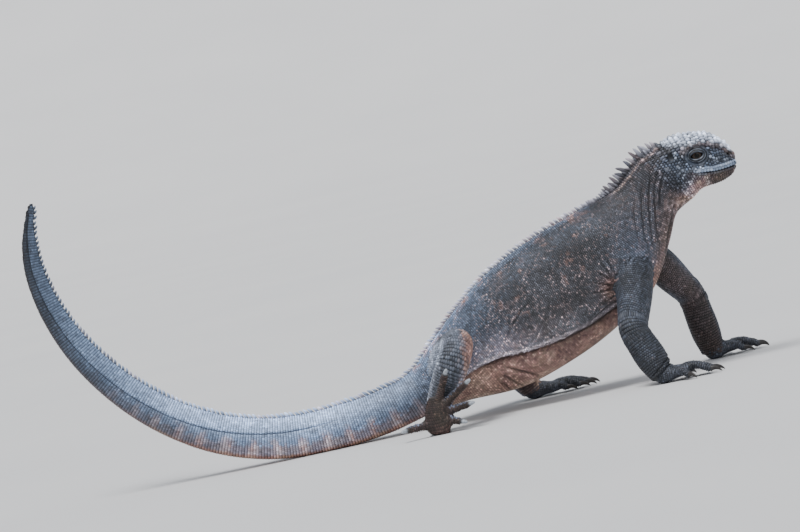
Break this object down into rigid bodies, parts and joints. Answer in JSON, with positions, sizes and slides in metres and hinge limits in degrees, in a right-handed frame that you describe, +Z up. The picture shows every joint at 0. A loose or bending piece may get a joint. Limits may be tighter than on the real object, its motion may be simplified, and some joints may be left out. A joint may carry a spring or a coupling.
{
  "type": "marine iguana",
  "caption": "Young marine iguana standing with its chest raised, its head level, a spiny crest along its back and its long flat tail curled up behind.",
  "frame": {"origin": "on the floor, at the middle of the outline seen from above", "axes": "+X towards the head, +Z up, the animal's right side towards -Y"},
  "size_m": [0.5034, 0.1681, 0.2133],
  "materials": {
    "hide": "matte, scaly",
    "claw": "satin horn",
    "eye": "wet gloss"
  },
  "bodies": {
    "root": {"head": "hide", "neck": "hide", "chest": "hide", "belly": "hide", "hips": "hide", "tail_1": "hide", "tail_2": "hide", "tail_3": "hide", "tail_4": "hide", "tail_5": "hide", "upper_arm_right": "hide", "forearm_right": "hide", "hand_right": "hide", "thigh_right": "hide", "shank_right": "hide", "foot_right": "hide", "upper_arm_left": "hide", "forearm_left": "hide", "hand_left": "hide", "thigh_left": "hide", "shank_left": "hide", "foot_left": "hide", "hand_right_claw_1": "claw", "hand_right_claw_2": "claw", "hand_right_claw_3": "claw", "hand_right_claw_4": "claw", "hand_right_claw_5": "claw", "hand_left_claw_1": "claw", "hand_left_claw_2": "claw", "hand_left_claw_3": "claw", "hand_left_claw_4": "claw", "hand_left_claw_5": "claw", "foot_right_claw_1": "claw", "foot_right_claw_2": "claw", "foot_right_claw_3": "claw", "foot_right_claw_4": "claw", "foot_right_claw_5": "claw", "foot_left_claw_1": "claw", "foot_left_claw_2": "claw", "foot_left_claw_3": "claw", "foot_left_claw_4": "claw", "foot_left_claw_5": "claw", "eye_right": "eye", "eye_left": "eye"}
  },
  "joints": []
}
